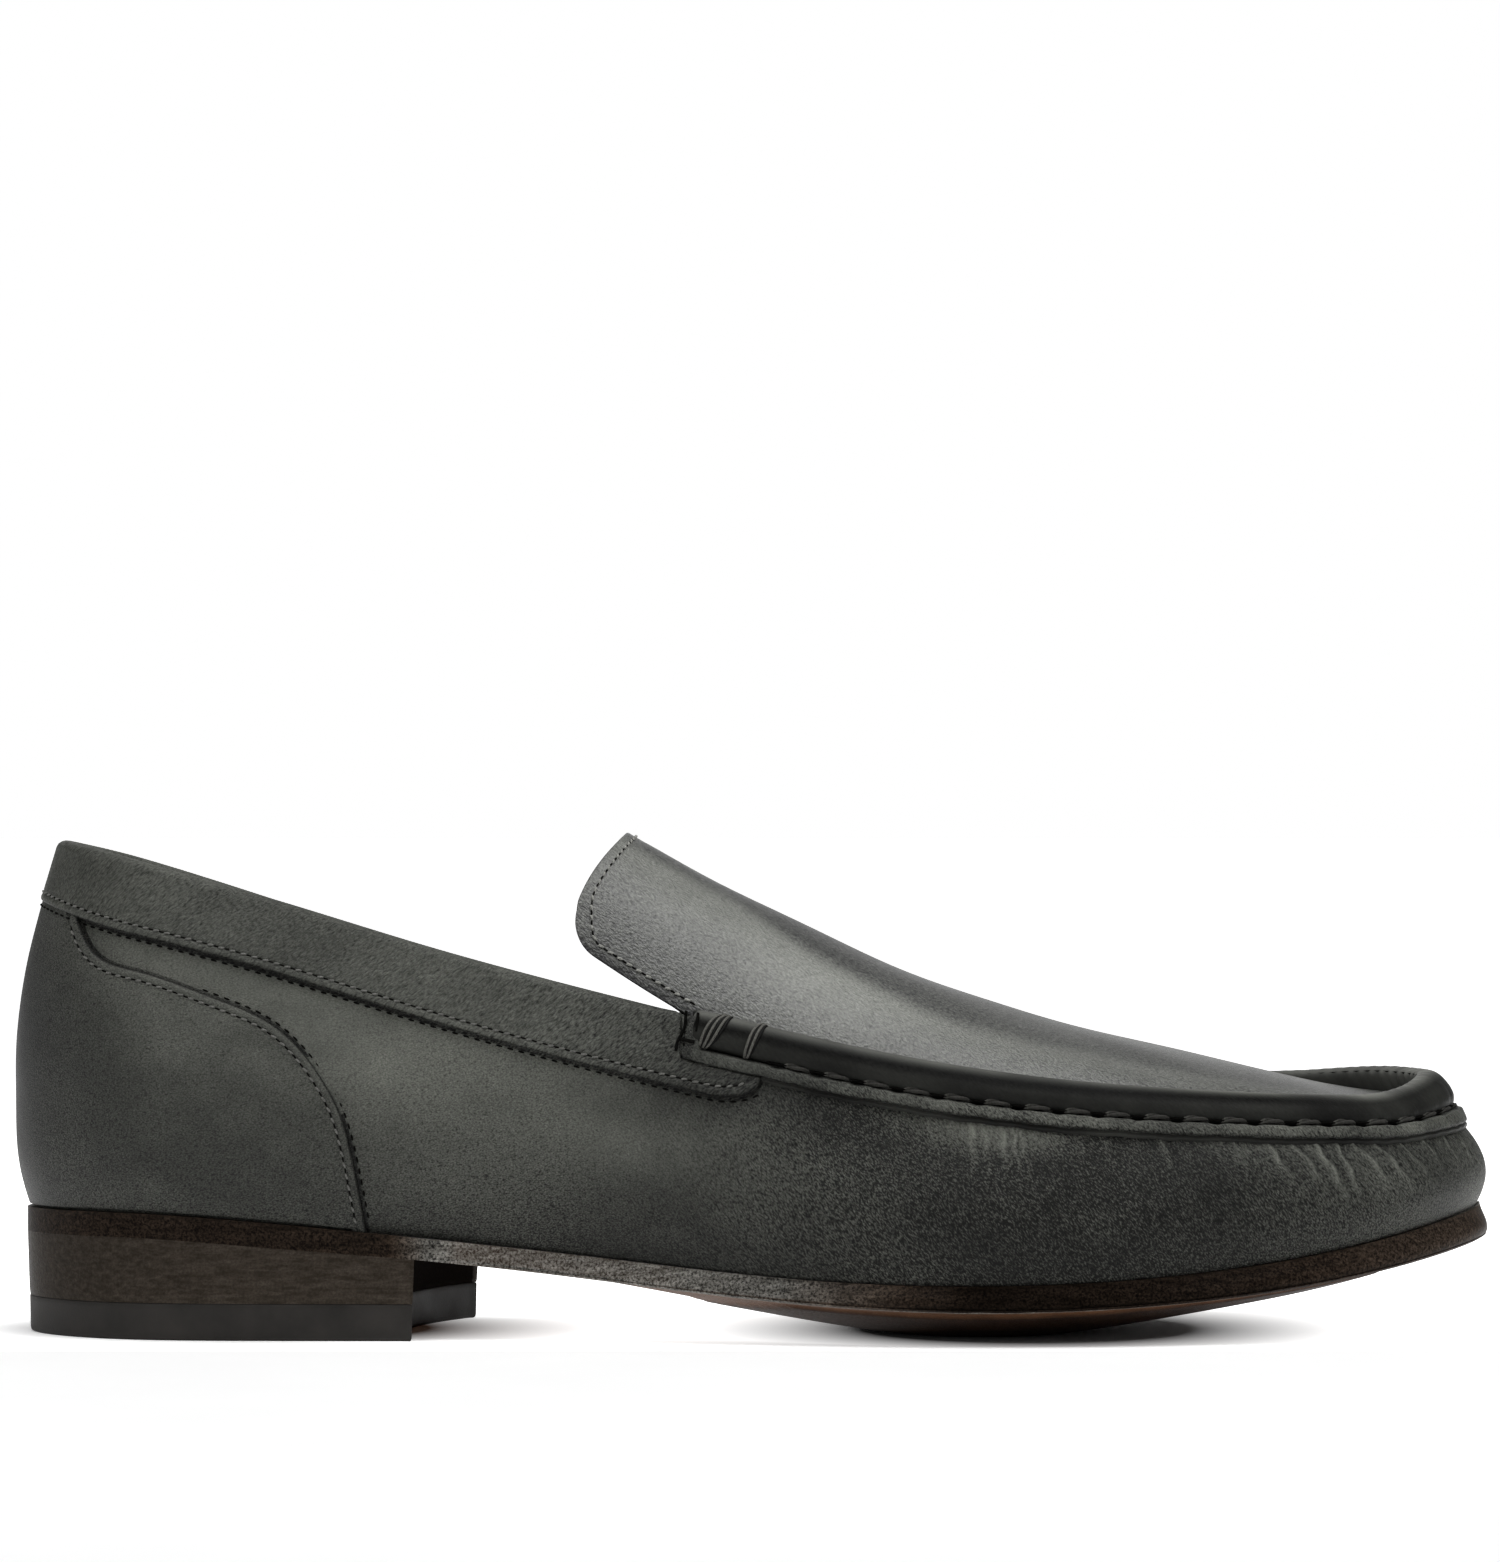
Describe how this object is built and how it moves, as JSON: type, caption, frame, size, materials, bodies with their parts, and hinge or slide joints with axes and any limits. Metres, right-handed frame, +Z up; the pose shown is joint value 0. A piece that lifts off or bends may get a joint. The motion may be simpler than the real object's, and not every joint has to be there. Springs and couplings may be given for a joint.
{
  "type": "elevator loafer",
  "caption": "Right-foot slip-on moccasin-toe loafer in charcoal leather with a raised apron seam, collar band, heel counter, leather sole, stacked heel and a hidden heel lift inside.",
  "frame": {"origin": "middle of the footprint's bounding box, on the floor under the sole and heel", "axes": "+X from heel to toe, +Y towards the inner (medial) side, +Z up from the floor"},
  "size_m": [0.3004, 0.1026, 0.1011],
  "materials": {
    "grey_leather": "satin",
    "dark_grey_leather": "satin",
    "sole_leather": "satin",
    "heel_leather": "satin",
    "heel_rubber": "matte",
    "footbed_leather": "matte"
  },
  "bodies": {
    "root": {"outsole": "sole_leather", "heel_stack": "heel_leather", "heel_top_piece": "heel_rubber", "insole": "footbed_leather", "upper": "grey_leather", "apron_seam": "dark_grey_leather", "collar_band": "grey_leather", "heel_counter": "grey_leather"}
  },
  "joints": []
}
